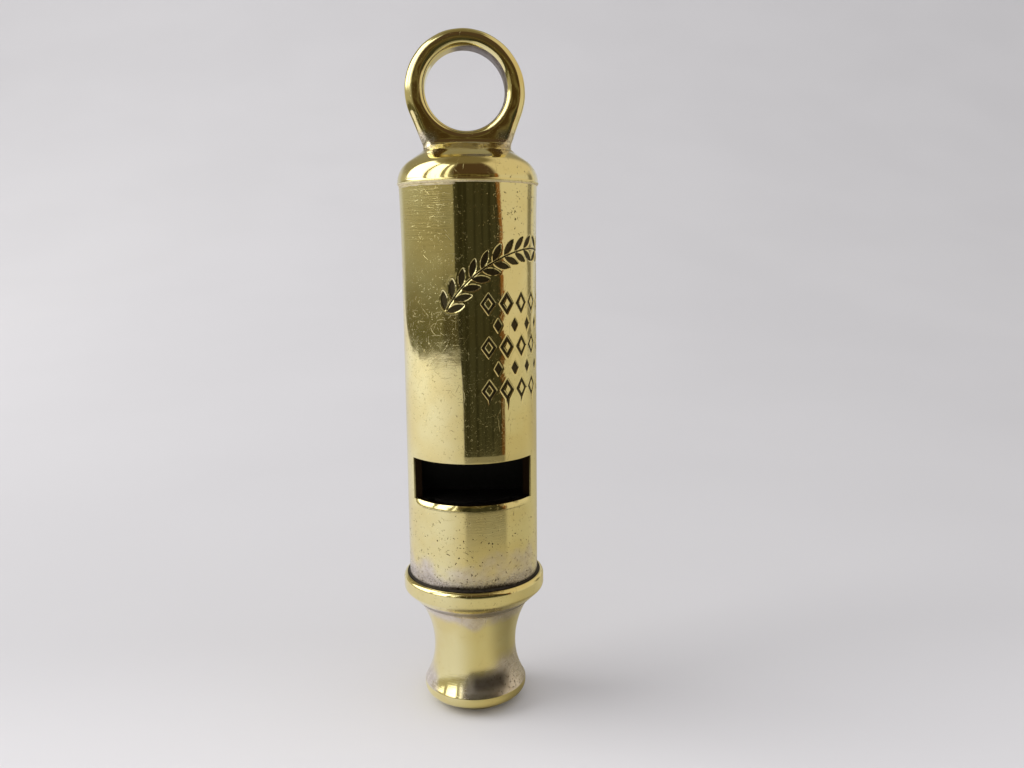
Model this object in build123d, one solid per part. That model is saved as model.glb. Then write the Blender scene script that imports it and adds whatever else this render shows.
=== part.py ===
from build123d import *
from math import acos, atan2, cos, degrees, radians, sin, sqrt
import os

# A pea-less tube whistle with two notes, soldered up from turned and rolled brass. Millimetres.
# It stands on its mouthpiece. The origin is where its axis meets the surface under the lip,
# and +Z runs up the axis. The two windows face -Y (front) and +Y (rear), and the eye of the
# suspension loop runs along Y. Outlines are (radius, height) pairs turned about the Z axis.

# Joints between pieces
solder_film = 0.03          # radial room that the solder fills in every spigot and socket

# Mouthpiece
mouthpiece_height = 17.25
mouth_bore_radius = 3.75
mouth_bore_length = 9.4
mouth_edge_break = 0.1
lip_face_radius = 4.3       # outer edge of the flat ring that the whistle stands on
lip_radius = 6.52
lip_round = 1.15
lip_band_z = 2.1            # height of the widest part of the lip
lip_edge_z = 2.55
waist_radius = 5.22
waist_z = 7.4
neck_radius = 6.95
neck_z = 13.5
neck_wall = 1.25
collar_wall = 0.75          # collar metal outside the socket
collar_round = 0.6
collar_land = 1.0           # straight face of the collar's edge
socket_depth = 2.0

# Barrel
barrel_radius = 8.1
barrel_wall = 0.85
barrel_length = 49.85
barrel_flare = 0.15         # how far the top end is opened to take the cap
barrel_flare_length = 10.0
window_rise = 12.5          # lower edge of the windows, above the barrel's lower end
window_height = 5.1
window_depth = 4.2          # how deep the straight cut goes, measured from the outside

# Air way and sound chambers
plug_height = 3.5
windway_depth = 1.1
windway_half_angle = 50.0
divider_thickness = 0.8
stop_thickness = 0.8
stop_to_skirt = 0.95        # room above the front stop, for its solder, below the cap's skirt
chamber_difference = 3.4    # how much shorter the rear chamber is than the front one

# End cap
cap_height = 4.1            # from the barrel's top to the flat under the loop
cap_overhang = 0.2
cap_rim_height = 0.2
cap_shoulder_radius = 3.05
cap_skirt_depth = 2.2
cap_skirt_wall = 0.8
cap_crown_wall = 1.1

# Suspension loop
eye_radius = 4.7
eye_rise = 6.8              # eye centre above the flat of the cap
ring_radius = 7.05
ring_drop = 0.25            # how far the ring's outer circle is centred below the eye
ring_thickness = 3.7
ring_edge_round = 1.0
eye_edge_round = 0.8
loop_foot_radius = 5.0
loop_foot_height = 0.4
loop_foot_taper = 0.3
tail_radius = 1.5
tail_head_radius = 2.3
tail_head_height = 0.8

# Solder fillets
seam_leg = 0.35
seam_rise = 0.7
cap_seam_leg = 0.2
cap_seam_out = 0.16
loop_fillet_leg = 0.05
loop_fillet_rise = 0.3
inner_fillet_leg = 0.6
inner_fillet_gap_angle = 4.0
chamber_fillet_angle = 160.0

# Places that follow from the sizes above
socket_radius = barrel_radius + solder_film
collar_radius = socket_radius + collar_wall
barrel_foot_z = mouthpiece_height - socket_depth
barrel_top_z = barrel_foot_z + barrel_length
barrel_top_radius = barrel_radius + barrel_flare
bore_radius = barrel_radius - barrel_wall
cap_seat_radius = bore_radius + barrel_flare
window_foot_z = barrel_foot_z + window_rise
window_flat_y = barrel_radius - window_depth
skirt_foot_z = barrel_top_z - cap_skirt_depth
front_stop_z = skirt_foot_z - stop_to_skirt - stop_thickness
rear_stop_z = front_stop_z - chamber_difference
inner_fit_radius = bore_radius - solder_film
cap_rim_radius = barrel_top_radius + cap_overhang
crown_z = barrel_top_z + cap_height
eye_z = crown_z + eye_rise


def turned(edges):
    """Solid of revolution from outline edges drawn as (radius, height)."""
    return revolve(Plane.XZ * make_face(edges), Axis.Z)


def turned_polygon(points, angle=360.0, start_angle=0.0):
    """Solid of revolution from a straight-sided outline, all round or through an angle."""
    face = Plane.XZ * make_face(Polyline(*points, close=True))
    return Rot(0, 0, start_angle) * revolve(face, Axis.Z, angle)


def cylinder_between(radius, foot_z, top_z):
    """Upright cylinder on the whistle's axis."""
    return Pos(0, 0, (foot_z + top_z) / 2) * Cylinder(radius, top_z - foot_z)


def tangent_point(point, centre, radius, side):
    """Where the straight line from point touches the circle, on its right (1) or left (-1)."""
    across = (point[0] - centre[0], point[1] - centre[1])
    distance = sqrt(across[0] ** 2 + across[1] ** 2)
    turn = atan2(across[1], across[0]) + side * acos(radius / distance)
    return (centre[0] + radius * cos(turn), centre[1] + radius * sin(turn))


def arc_point(centre, radius, angle):
    """Point on a circle at an angle in degrees."""
    return (centre[0] + radius * cos(radians(angle)), centre[1] + radius * sin(radians(angle)))


def make_mouthpiece():
    """Turned mouthpiece: rounded lip, waist, and a collar with a socket for the barrel."""
    lip_centre = (lip_radius - lip_round, lip_band_z)
    lip_tangent = tangent_point((lip_face_radius, 0), lip_centre, lip_round, 1)
    land_foot_z = mouthpiece_height - collar_round - collar_land
    land_top_z = mouthpiece_height - collar_round
    under_centre = (collar_radius - collar_round, land_foot_z)
    top_centre = (collar_radius - collar_round, land_top_z)
    under_tangent = tangent_point((neck_radius, neck_z), under_centre, collar_round, 1)
    lip_angle = degrees(atan2(lip_tangent[1] - lip_band_z, lip_tangent[0] - lip_centre[0]))
    under_angle = degrees(atan2(under_tangent[1] - land_foot_z, under_tangent[0] - under_centre[0]))
    cavity_radius = neck_radius - neck_wall
    flare_edge = (lip_radius - 0.02, lip_edge_z)
    outline = [
        Line((mouth_bore_radius + mouth_edge_break, 0), (lip_face_radius, 0)),
        Line((lip_face_radius, 0), lip_tangent),
        ThreePointArc(
            lip_tangent,
            arc_point(lip_centre, lip_round, lip_angle / 2),
            (lip_radius, lip_band_z),
        ),
        Line((lip_radius, lip_band_z), flare_edge),
        TangentArc((waist_radius, waist_z), flare_edge, tangent=(0, -1)),
        TangentArc((waist_radius, waist_z), (neck_radius, neck_z), tangent=(0, 1)),
        Line((neck_radius, neck_z), under_tangent),
        ThreePointArc(
            under_tangent,
            arc_point(under_centre, collar_round, under_angle / 2),
            (collar_radius, land_foot_z),
        ),
        Line((collar_radius, land_foot_z), (collar_radius, land_top_z)),
        ThreePointArc(
            (collar_radius, land_top_z),
            arc_point(top_centre, collar_round, 45),
            (top_centre[0], mouthpiece_height),
        ),
        Polyline(
            (top_centre[0], mouthpiece_height),
            (socket_radius, mouthpiece_height),
            (socket_radius, barrel_foot_z),
            (cavity_radius, barrel_foot_z),
            (cavity_radius, neck_z),
            (mouth_bore_radius, mouth_bore_length),
            (mouth_bore_radius, mouth_edge_break),
            (mouth_bore_radius + mouth_edge_break, 0),
        ),
    ]
    return turned(outline)


def make_barrel():
    """Tube with two windows sawn straight across it, opened a little at the top for the cap."""
    flare_foot_z = barrel_top_z - barrel_flare_length
    outline = [
        Line((bore_radius, barrel_foot_z), (barrel_radius, barrel_foot_z)),
        Line((barrel_radius, barrel_foot_z), (barrel_radius, flare_foot_z)),
        TangentArc(
            (barrel_radius, flare_foot_z),
            (barrel_top_radius, barrel_top_z),
            tangent=(0, 1),
        ),
        Polyline(
            (barrel_top_radius, barrel_top_z),
            (cap_seat_radius, barrel_top_z),
            (cap_seat_radius, skirt_foot_z),
            (bore_radius, skirt_foot_z),
            (bore_radius, barrel_foot_z),
        ),
    ]
    tube = turned(outline)
    cut = Box(
        2 * barrel_radius,
        window_depth,
        window_height,
        align=(Align.CENTER, Align.MIN, Align.MIN),
    )
    front_cut = Pos(0, -barrel_radius, window_foot_z) * cut
    rear_cut = Pos(0, window_flat_y, window_foot_z) * cut
    return tube - front_cut - rear_cut


def make_windway_plug():
    """Disc that closes the bore below the windows, notched front and rear for the air."""
    foot_z = window_foot_z - plug_height
    disc = cylinder_between(inner_fit_radius, foot_z, window_foot_z)
    floor_radius = bore_radius - windway_depth
    notch_outline = [
        (floor_radius, foot_z),
        (bore_radius, foot_z),
        (bore_radius, window_foot_z),
        (floor_radius, window_foot_z),
    ]
    for facing in (-90, 90):
        start = facing - windway_half_angle
        disc -= turned_polygon(notch_outline, 2 * windway_half_angle, start)
    return disc


def make_chamber_divider():
    """Flat plate across the bore that parts the front chamber from the rear one."""
    top_z = front_stop_z + stop_thickness
    slab = Pos(0, 0, window_foot_z) * Box(
        2 * bore_radius,
        divider_thickness,
        top_z - window_foot_z,
        align=(Align.CENTER, Align.CENTER, Align.MIN),
    )
    return slab & cylinder_between(inner_fit_radius, window_foot_z, top_z)


def make_chamber_stop(foot_z, facing):
    """Half-moon plate that closes a chamber; facing is -1 for the front and 1 for the rear."""
    disc = cylinder_between(inner_fit_radius, foot_z, foot_z + stop_thickness)
    half = Pos(0, facing * (divider_thickness / 2 + bore_radius / 2), foot_z) * Box(
        2 * bore_radius,
        bore_radius,
        2 * stop_thickness,
    )
    return disc & half


def make_end_cap():
    """Domed cap: a rim on the barrel's end, a skirt inside it, and a bored flat for the loop."""
    shoulder_centre = (cap_rim_radius - cap_shoulder_radius, barrel_top_z + cap_rim_height)
    shoulder_end = tangent_point((loop_foot_radius, crown_z), shoulder_centre, cap_shoulder_radius, -1)
    shoulder_angle = degrees(atan2(shoulder_end[1] - shoulder_centre[1], shoulder_end[0] - shoulder_centre[0]))
    skirt_radius = cap_seat_radius - solder_film
    skirt_bore = skirt_radius - cap_skirt_wall
    tail_hole_radius = tail_radius + solder_film
    crown_bore = loop_foot_radius - cap_crown_wall
    outline = [
        Polyline(
            (skirt_bore, skirt_foot_z),
            (skirt_radius, skirt_foot_z),
            (skirt_radius, barrel_top_z),
            (cap_rim_radius, barrel_top_z),
            (cap_rim_radius, shoulder_centre[1]),
        ),
        ThreePointArc(
            (cap_rim_radius, shoulder_centre[1]),
            arc_point(shoulder_centre, cap_shoulder_radius, shoulder_angle / 2),
            shoulder_end,
        ),
        Polyline(
            shoulder_end,
            (loop_foot_radius, crown_z),
            (tail_hole_radius, crown_z),
            (tail_hole_radius, crown_z - cap_crown_wall),
            (crown_bore, crown_z - cap_crown_wall),
            (skirt_bore, shoulder_centre[1]),
            (skirt_bore, skirt_foot_z),
        ),
    ]
    return turned(outline)


def make_suspension_loop():
    """Ring on a tapered foot, with a tail through the cap whose end is spread inside it."""
    ring_z = eye_z - ring_drop
    heel = sqrt(loop_foot_radius ** 2 - (ring_thickness / 2) ** 2)
    touch = tangent_point((heel, crown_z), (0, ring_z), ring_radius, 1)
    outline = [
        Line((-heel, crown_z), (heel, crown_z)),
        Line((heel, crown_z), touch),
        ThreePointArc(touch, (0, ring_z + ring_radius), (-touch[0], touch[1])),
        Line((-touch[0], touch[1]), (-heel, crown_z)),
    ]
    face = Plane.XZ * make_face(outline)
    plate = extrude(face, ring_thickness / 2, both=True)
    rim_edges = plate.edges().filter_by(lambda edge: edge.center().Z > crown_z + 0.1)
    rim_edges = rim_edges.filter_by(lambda edge: abs(edge.center().Y) > ring_thickness / 2 - 0.01)
    plate = fillet(rim_edges, ring_edge_round)
    eye = Pos(0, 0, eye_z) * Rot(90, 0, 0) * Cylinder(eye_radius, 2 * ring_thickness)
    plate -= eye
    eye_edges = plate.edges().filter_by(GeomType.CIRCLE)
    eye_edges = eye_edges.filter_by(lambda edge: abs(edge.radius - eye_radius) < 0.001)
    plate = fillet(eye_edges, eye_edge_round)
    foot = turned_polygon([
        (0, crown_z),
        (loop_foot_radius, crown_z),
        (loop_foot_radius - loop_foot_taper, crown_z + loop_foot_height),
        (0, crown_z + loop_foot_height),
    ])
    head_top_z = crown_z - cap_crown_wall
    tail = cylinder_between(tail_radius, head_top_z, crown_z)
    head = cylinder_between(tail_head_radius, head_top_z - tail_head_height, head_top_z)
    eye_clearance = Pos(0, 0, eye_z) * Rot(90, 0, 0) * Cylinder(eye_radius, 4 * loop_foot_radius)
    return plate + (foot - eye_clearance) + tail + head


def make_mouthpiece_solder_ring():
    """Solder and dirt in the corner between the collar's top and the barrel."""
    return turned_polygon([
        (barrel_radius, mouthpiece_height),
        (barrel_radius + seam_leg, mouthpiece_height),
        (barrel_radius, mouthpiece_height + seam_rise),
    ])


def make_cap_solder_ring():
    """Solder under the cap's rim, standing on the barrel."""
    return turned_polygon([
        (barrel_top_radius, barrel_top_z - cap_seam_leg),
        (barrel_top_radius + cap_seam_out, barrel_top_z),
        (barrel_top_radius, barrel_top_z),
    ])


def make_plug_solder_fillets():
    """Two arcs of solder under the windway plug, clear of its notches."""
    foot_z = window_foot_z - plug_height
    outline = [
        (bore_radius, foot_z),
        (bore_radius - inner_fillet_leg, foot_z),
        (bore_radius, foot_z - inner_fillet_leg),
    ]
    span = 180 - 2 * windway_half_angle - 2 * inner_fillet_gap_angle
    right = turned_polygon(outline, span, -span / 2)
    left = turned_polygon(outline, span, 180 - span / 2)
    return Compound(children=[right, left])


def make_divider_solder_fillets():
    """Four upright fillets in the corners between the divider's faces and the bore."""
    face_y = divider_thickness / 2
    corner_x = sqrt(bore_radius ** 2 - face_y ** 2)
    section = make_face(Polyline(
        (corner_x - inner_fillet_leg, face_y),
        (bore_radius, face_y),
        (bore_radius, face_y + inner_fillet_leg),
        close=True,
    ))
    fillets = []
    for facing, top_z in ((1, rear_stop_z), (-1, front_stop_z)):
        bar = Pos(0, 0, window_foot_z) * extrude(section, top_z - window_foot_z)
        bar = bar & cylinder_between(bore_radius, window_foot_z, top_z)
        if facing < 0:
            bar = mirror(bar, Plane.XZ)
        fillets.append(bar)
        fillets.append(mirror(bar, Plane.YZ))
    return Compound(children=fillets)


def make_stop_solder_fillets():
    """One arc of solder on top of each chamber stop."""
    fillets = []
    for stop_z, middle_angle in ((front_stop_z, -90), (rear_stop_z, 90)):
        top_z = stop_z + stop_thickness
        outline = [
            (bore_radius, top_z),
            (bore_radius, top_z + inner_fillet_leg),
            (bore_radius - inner_fillet_leg, top_z),
        ]
        start = middle_angle - chamber_fillet_angle / 2
        fillets.append(turned_polygon(outline, chamber_fillet_angle, start))
    return Compound(children=fillets)


def make_loop_solder_fillet(loop):
    """Ring of solder round the loop's foot, cut away where the ring's heels reach through it."""
    taper = loop_foot_taper / loop_foot_height
    ring = turned_polygon([
        (loop_foot_radius, crown_z),
        (loop_foot_radius - taper * loop_fillet_rise, crown_z + loop_fillet_rise),
        (loop_foot_radius + loop_fillet_leg, crown_z),
    ])
    return ring - loop


suspension_loop = make_suspension_loop()
pieces = {
    "mouthpiece": make_mouthpiece(),
    "barrel": make_barrel(),
    "windway_plug": make_windway_plug(),
    "chamber_divider": make_chamber_divider(),
    "front_chamber_stop": make_chamber_stop(front_stop_z, -1),
    "rear_chamber_stop": make_chamber_stop(rear_stop_z, 1),
    "end_cap": make_end_cap(),
    "suspension_loop": suspension_loop,
    "mouthpiece_solder_ring": make_mouthpiece_solder_ring(),
    "cap_solder_ring": make_cap_solder_ring(),
    "loop_solder_fillet": make_loop_solder_fillet(suspension_loop),
    "plug_solder_fillets": make_plug_solder_fillets(),
    "divider_solder_fillets": make_divider_solder_fillets(),
    "stop_solder_fillets": make_stop_solder_fillets(),
}

os.makedirs("parts", exist_ok=True)
for name, solid in pieces.items():
    export_step(solid, f"parts/{name}.step")
    print(name, "volume", round(sum(body.volume for body in solid.solids()), 2), "mm3")
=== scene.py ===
import math
import bpy
import numpy as np
from mathutils import Matrix, Vector


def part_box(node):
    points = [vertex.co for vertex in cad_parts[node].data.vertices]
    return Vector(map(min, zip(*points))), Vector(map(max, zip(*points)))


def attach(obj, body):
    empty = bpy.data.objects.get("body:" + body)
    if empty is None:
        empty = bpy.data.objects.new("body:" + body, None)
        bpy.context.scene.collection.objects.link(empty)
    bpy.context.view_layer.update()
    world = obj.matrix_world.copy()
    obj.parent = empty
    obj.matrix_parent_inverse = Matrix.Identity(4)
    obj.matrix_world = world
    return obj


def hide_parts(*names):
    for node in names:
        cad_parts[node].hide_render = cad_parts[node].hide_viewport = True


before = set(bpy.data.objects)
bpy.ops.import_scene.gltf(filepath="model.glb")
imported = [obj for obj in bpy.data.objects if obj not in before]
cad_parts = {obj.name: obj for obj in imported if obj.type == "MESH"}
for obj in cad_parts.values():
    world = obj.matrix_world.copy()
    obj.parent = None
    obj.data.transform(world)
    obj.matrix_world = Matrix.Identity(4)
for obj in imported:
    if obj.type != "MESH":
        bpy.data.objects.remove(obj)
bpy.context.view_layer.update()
mm = 0.001
print("frame loaded")


# shader values and node trees

class Sock:
    # a shader value that can be used in plain arithmetic
    def __init__(self, tree, out):
        self.tree = tree
        self.out = out

    def calc(self, operation, *others):
        return self.tree.node("ShaderNodeMath", {"operation": operation}, [self, *others])

    def flipped(self, operation, other):
        return self.tree.node("ShaderNodeMath", {"operation": operation}, [other, self])

    def __add__(self, other):
        return self.calc("ADD", other)

    def __radd__(self, other):
        return self.calc("ADD", other)

    def __sub__(self, other):
        return self.calc("SUBTRACT", other)

    def __rsub__(self, other):
        return self.flipped("SUBTRACT", other)

    def __mul__(self, other):
        return self.calc("MULTIPLY", other)

    def __rmul__(self, other):
        return self.calc("MULTIPLY", other)

    def __pow__(self, other):
        return self.calc("POWER", other)

    def __neg__(self):
        return self.calc("MULTIPLY", -1.0)

    def __abs__(self):
        return self.calc("ABSOLUTE")


class Tree:
    # one node tree, for a material or for the world
    def __init__(self, owner):
        owner.use_nodes = True
        self.tree = owner.node_tree
        self.tree.nodes.clear()

    def node(self, kind, settings=None, inputs=None, out=0):
        made = self.tree.nodes.new(kind)
        for key, value in (settings or {}).items():
            if key == "stops":
                self.fillRamp(made.color_ramp, value)
            else:
                setattr(made, key, value)
        pairs = inputs.items() if isinstance(inputs, dict) else enumerate(inputs or [])
        for key, value in pairs:
            if isinstance(value, Sock):
                self.tree.links.new(value.out, made.inputs[key])
            else:
                made.inputs[key].default_value = value
        return Sock(self, made.outputs[out]) if len(made.outputs) else made

    def fillRamp(self, ramp, stops):
        while len(ramp.elements) < len(stops):
            ramp.elements.new(1.0)
        for element, (place, shade) in zip(ramp.elements, stops):
            element.position = place
            element.color = shade if len(shade) == 4 else (*shade, 1.0)

    # vectors and colours
    def place(self):
        coords = self.node("ShaderNodeTexCoord", out=3)
        return self.vector("MULTIPLY", coords, (1000, 1000, 1000))   # object coordinates in millimetres

    def vector(self, operation, a, b=(0, 0, 0)):
        return self.node("ShaderNodeVectorMath", {"operation": operation}, [a, b])

    def split(self, vec):
        first = self.node("ShaderNodeSeparateXYZ", None, [vec])
        owner = first.out.node
        return [Sock(self, owner.outputs[i]) for i in range(3)]

    def join(self, x, y, z):
        return self.node("ShaderNodeCombineXYZ", None, [x, y, z])

    def mix(self, factor, a, b, blend="MIX"):
        settings = {"data_type": "RGBA", "blend_type": blend}
        return self.node("ShaderNodeMix", settings, {0: factor, 6: a, 7: b}, out=2)

    def ramp(self, value, low, high, start=0.0, end=1.0):
        settings = {"interpolation_type": "SMOOTHSTEP"}
        return self.node("ShaderNodeMapRange", settings, [value, low, high, start, end])

    def noise(self, vec, scale, detail=2.0, rough=0.5):
        inputs = {"Vector": vec, "Scale": scale, "Detail": detail, "Roughness": rough}
        return self.node("ShaderNodeTexNoise", None, inputs)

    def noiseColour(self, vec, scale):
        inputs = {"Vector": vec, "Scale": scale, "Detail": 2.0}
        colour = self.node("ShaderNodeTexNoise", None, inputs, out=1)
        return self.vector("SUBTRACT", colour, (0.5, 0.5, 0.5))

    def turned(self, vec, angles):
        settings = {"rotation_type": "EULER_XYZ"}
        return self.node("ShaderNodeVectorRotate", settings, {"Vector": vec, "Rotation": angles})

    def specks(self, vec):
        # one speck in each unit square: how far its middle is, and its own random number
        settings = {"voronoi_dimensions": "2D"}
        away = self.node("ShaderNodeTexVoronoi", settings, {"Vector": vec, "Scale": 1.0})
        colour = Sock(self, away.out.node.outputs["Color"])
        return away, self.split(colour)[0]

    def turnOf(self, x, y):
        # degrees round the whistle: 0 straight in front, positive to the right
        return x.calc("ARCTAN2", -y) * (180 / math.pi)

    def band(self, value, low, high, soft):
        rise = self.ramp(value, low - soft, low + soft)
        return rise * self.ramp(value, high - soft, high + soft, 1.0, 0.0)

    def most(self, a, b):
        return a.calc("MAXIMUM", b)

    def clamp(self, value):
        return self.node("ShaderNodeClamp", None, [value])


def rgb(r, g, b):
    return (r, g, b, 1.0)


def newMaterial(name):
    material = bpy.data.materials.new(name)
    return material, Tree(material)


def finishMaterial(t, sockets):
    shader = t.node("ShaderNodeBsdfPrincipled", None, sockets)
    t.node("ShaderNodeOutputMaterial", None, [shader])


# finishes

brassLook = {
    "lemon": rgb(0.870, 0.788, 0.425),
    "warm": rgb(0.82, 0.70, 0.33),
    "tarnish": rgb(0.50, 0.39, 0.17),
    "nickel": rgb(0.74, 0.68, 0.68),
    "nickelDull": rgb(0.60, 0.53, 0.51),
    "grimeAndShade": rgb(0.020, 0.012, 0.007),
    "gloss": 0.07,           # roughness of freshly rubbed metal
    "spot": rgb(0.07, 0.05, 0.02),
    "spotStrength": 0.85,
    "pitGap": 0.38,          # mm between pits
    "pitSize": (0.08, 0.18),         # of the pit gap, where hardly pitted and what full pitting adds
    "ragged": 0.42,          # mm that the edges of pits and nicks wander
    "girthPerDegree": 0.1414,        # mm round the barrel
    "waveHeight": 0.000010,  # metres
}

# sets of straight marks: tilt, gap and length in mm, breadth
brassMarks = {
    "nicks": ((0.6, 0.50, 1.9, 0.09), (-1.1, 0.6, 2.6, 0.07)),
    "handled": ((0.45, 0.55, 16.0, 0.06), (-0.8, 0.60, 13.0, 0.05)),
    "brushed": (1.50, 0.50, 9.0, 0.06),
    "lengthwise": (0.04, 0.60, 16.0, 0.05),
    "short": (1.1, 0.40, 1.1, 0.07),
}


def scratchLines(t, flat, tilt, gap, length, breadth):
    # straight fine lines: specks of a pattern that is stretched one way; gap and length in mm
    stretched = t.vector("MULTIPLY", t.turned(flat, (0, 0, tilt)), (1 / gap, 1 / length, 0))
    away, chance = t.specks(stretched)
    return t.ramp(away - chance ** 2.0 * breadth, 0.0, 0.04, 1.0, 0.0)


def brassFinish(name, wearOf, turnedPart=True):
    # wearOf gives masks 0..1: nickel still on, grime together with painted shade and painted dark
    # reflections, how pitted, how brushed round
    material, t = newMaterial(name)
    look = brassLook
    place = t.place()
    x, y, z = t.split(place)
    radius = (x * x + y * y) ** 0.5
    nickel, grimeAndShade, pitting, brushed = wearOf(t, place, x, y, z, radius)

    cloud = t.noise(place, 0.16, 3.0)
    blotch = t.noise(place, 0.9, 4.0, 0.6)
    tone = t.mix(t.ramp(cloud, 0.35, 0.68), look["lemon"], look["warm"])
    tone = t.mix(t.ramp(blotch, 0.60, 0.82) * 0.35, tone, look["tarnish"])

    wander = t.noiseColour(place, 0.5)
    flat = t.join(t.turnOf(x, y) * look["girthPerDegree"] if turnedPart else x, z, 0.0)
    bent = t.vector("ADD", flat, wander)
    stray = t.vector("MULTIPLY", t.noiseColour(place, 6.0), (look["ragged"], look["ragged"], 0))
    ragged = t.vector("ADD", bent, stray)
    perGap = 1 / look["pitGap"]
    pitAway, pitChance = t.specks(t.vector("MULTIPLY", ragged, (perGap, perGap, 0)))
    crowd = t.ramp(t.noise(place, 0.7, 2.0), 0.38, 0.66, 0.35, 1.1)
    least, more = look["pitSize"]
    pitSize = pitChance ** 5.0 * (least + pitting * more) * crowd
    pits = t.ramp(pitAway - pitSize, 0.0, 0.06, 1.0, 0.0) * t.ramp(pitSize, 0.02, 0.06)
    first, second = brassMarks["nicks"]
    nicks = scratchLines(t, ragged, *first) + scratchLines(t, ragged, *second)
    nicks = nicks * t.ramp(t.noise(place, 0.8, 2.0), 0.42, 0.58)
    spots = t.clamp((pits + nicks) * t.ramp(pitting, 0.05, 0.95))

    plateCloud = t.noise(place, 1.6, 3.0)
    plateTone = t.mix(t.ramp(plateCloud, 0.38, 0.70), look["nickel"], look["nickelDull"])
    tone = t.mix(nickel, tone, plateTone)
    tone = t.mix(spots * look["spotStrength"], tone, look["spot"])
    # the same near-black stands for grime and for painted shade and painted dark reflections
    tone = t.mix(grimeAndShade, tone, look["grimeAndShade"])

    lathed = t.noise(t.vector("MULTIPLY", place, (0.3, 0.3, 5.5)), 1.0, 4.0, 0.7)
    handled = t.ramp(t.noise(place, 0.5, 3.0), 0.44, 0.62)
    rising, falling = brassMarks["handled"]
    scratches = t.clamp(
        scratchLines(t, bent, *rising) * handled
        + scratchLines(t, bent, *falling) * handled
        + scratchLines(t, bent, *brassMarks["brushed"]) * (0.4 + brushed)
        + scratchLines(t, bent, *brassMarks["lengthwise"])
        + scratchLines(t, bent, *brassMarks["short"]) * (1 - handled)
    )
    handling = t.noise(place, 0.55, 3.0)
    rough = look["gloss"] + t.ramp(handling, 0.45, 0.75) * 0.05
    rough = rough + t.ramp(lathed, 0.5, 0.75) * (0.03 + brushed * 0.16)
    rough = rough + nickel * 0.17 + spots * 0.4 + grimeAndShade * 0.5 + scratches * 0.10

    wave = t.noise(place, 0.28, 1.0)
    ripple = t.noise(place, 1.3, 2.0)
    relief = wave * 1.6 + ripple * 0.25 + lathed * (0.05 + brushed * 1.5)
    relief = relief - spots * 1.3 - scratches * 0.38 + nickel * 0.3
    lift = {"Strength": 1.0, "Distance": look["waveHeight"], "Height": relief}
    bump = t.node("ShaderNodeBump", None, lift)
    finishMaterial(t, {
        "Base Color": tone,
        "Metallic": 1.0,
        "Roughness": t.clamp(rough),
        "Normal": bump,
    })
    return material


barrelWorn = {
    "nickel": 0.8,
    "nickelEdge": -2.9,      # mm above the collar, before the waves are added
    "nickelWaves": (10.0, 0.8),
    "dirt": 0.95,
    "dirtSpan": (-0.95, -0.30),      # from the collar, before the speckle is added
    "dirtHump": 0.40,        # the dirt lies thickest in front
    "soot": 0.65,
    "sootHeight": 1.1,
    "stamped": 0.93,         # dirt in the bottom of the ornament
    "slopeReflectionLine": 0.4,        # painted dark reflection: a thin line under the rubbed slope of each window
    # painted dark reflection in patches on the rubbed slopes
    "slopeReflectionStrength": 0.5,
    "pitsSpan": (4.0, 13.0),         # mm above the collar, where the pits thin out
    "pitsLeft": 0.40,
    "cornerPits": 1.1,       # upper right
    "cornerSpan": (9.0, 2.0),        # mm below the top
    "brushedSpan": (8.6, 2.6),
    "brushedUnder": (3.3, 0.2),      # mm below the windows
}


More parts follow.
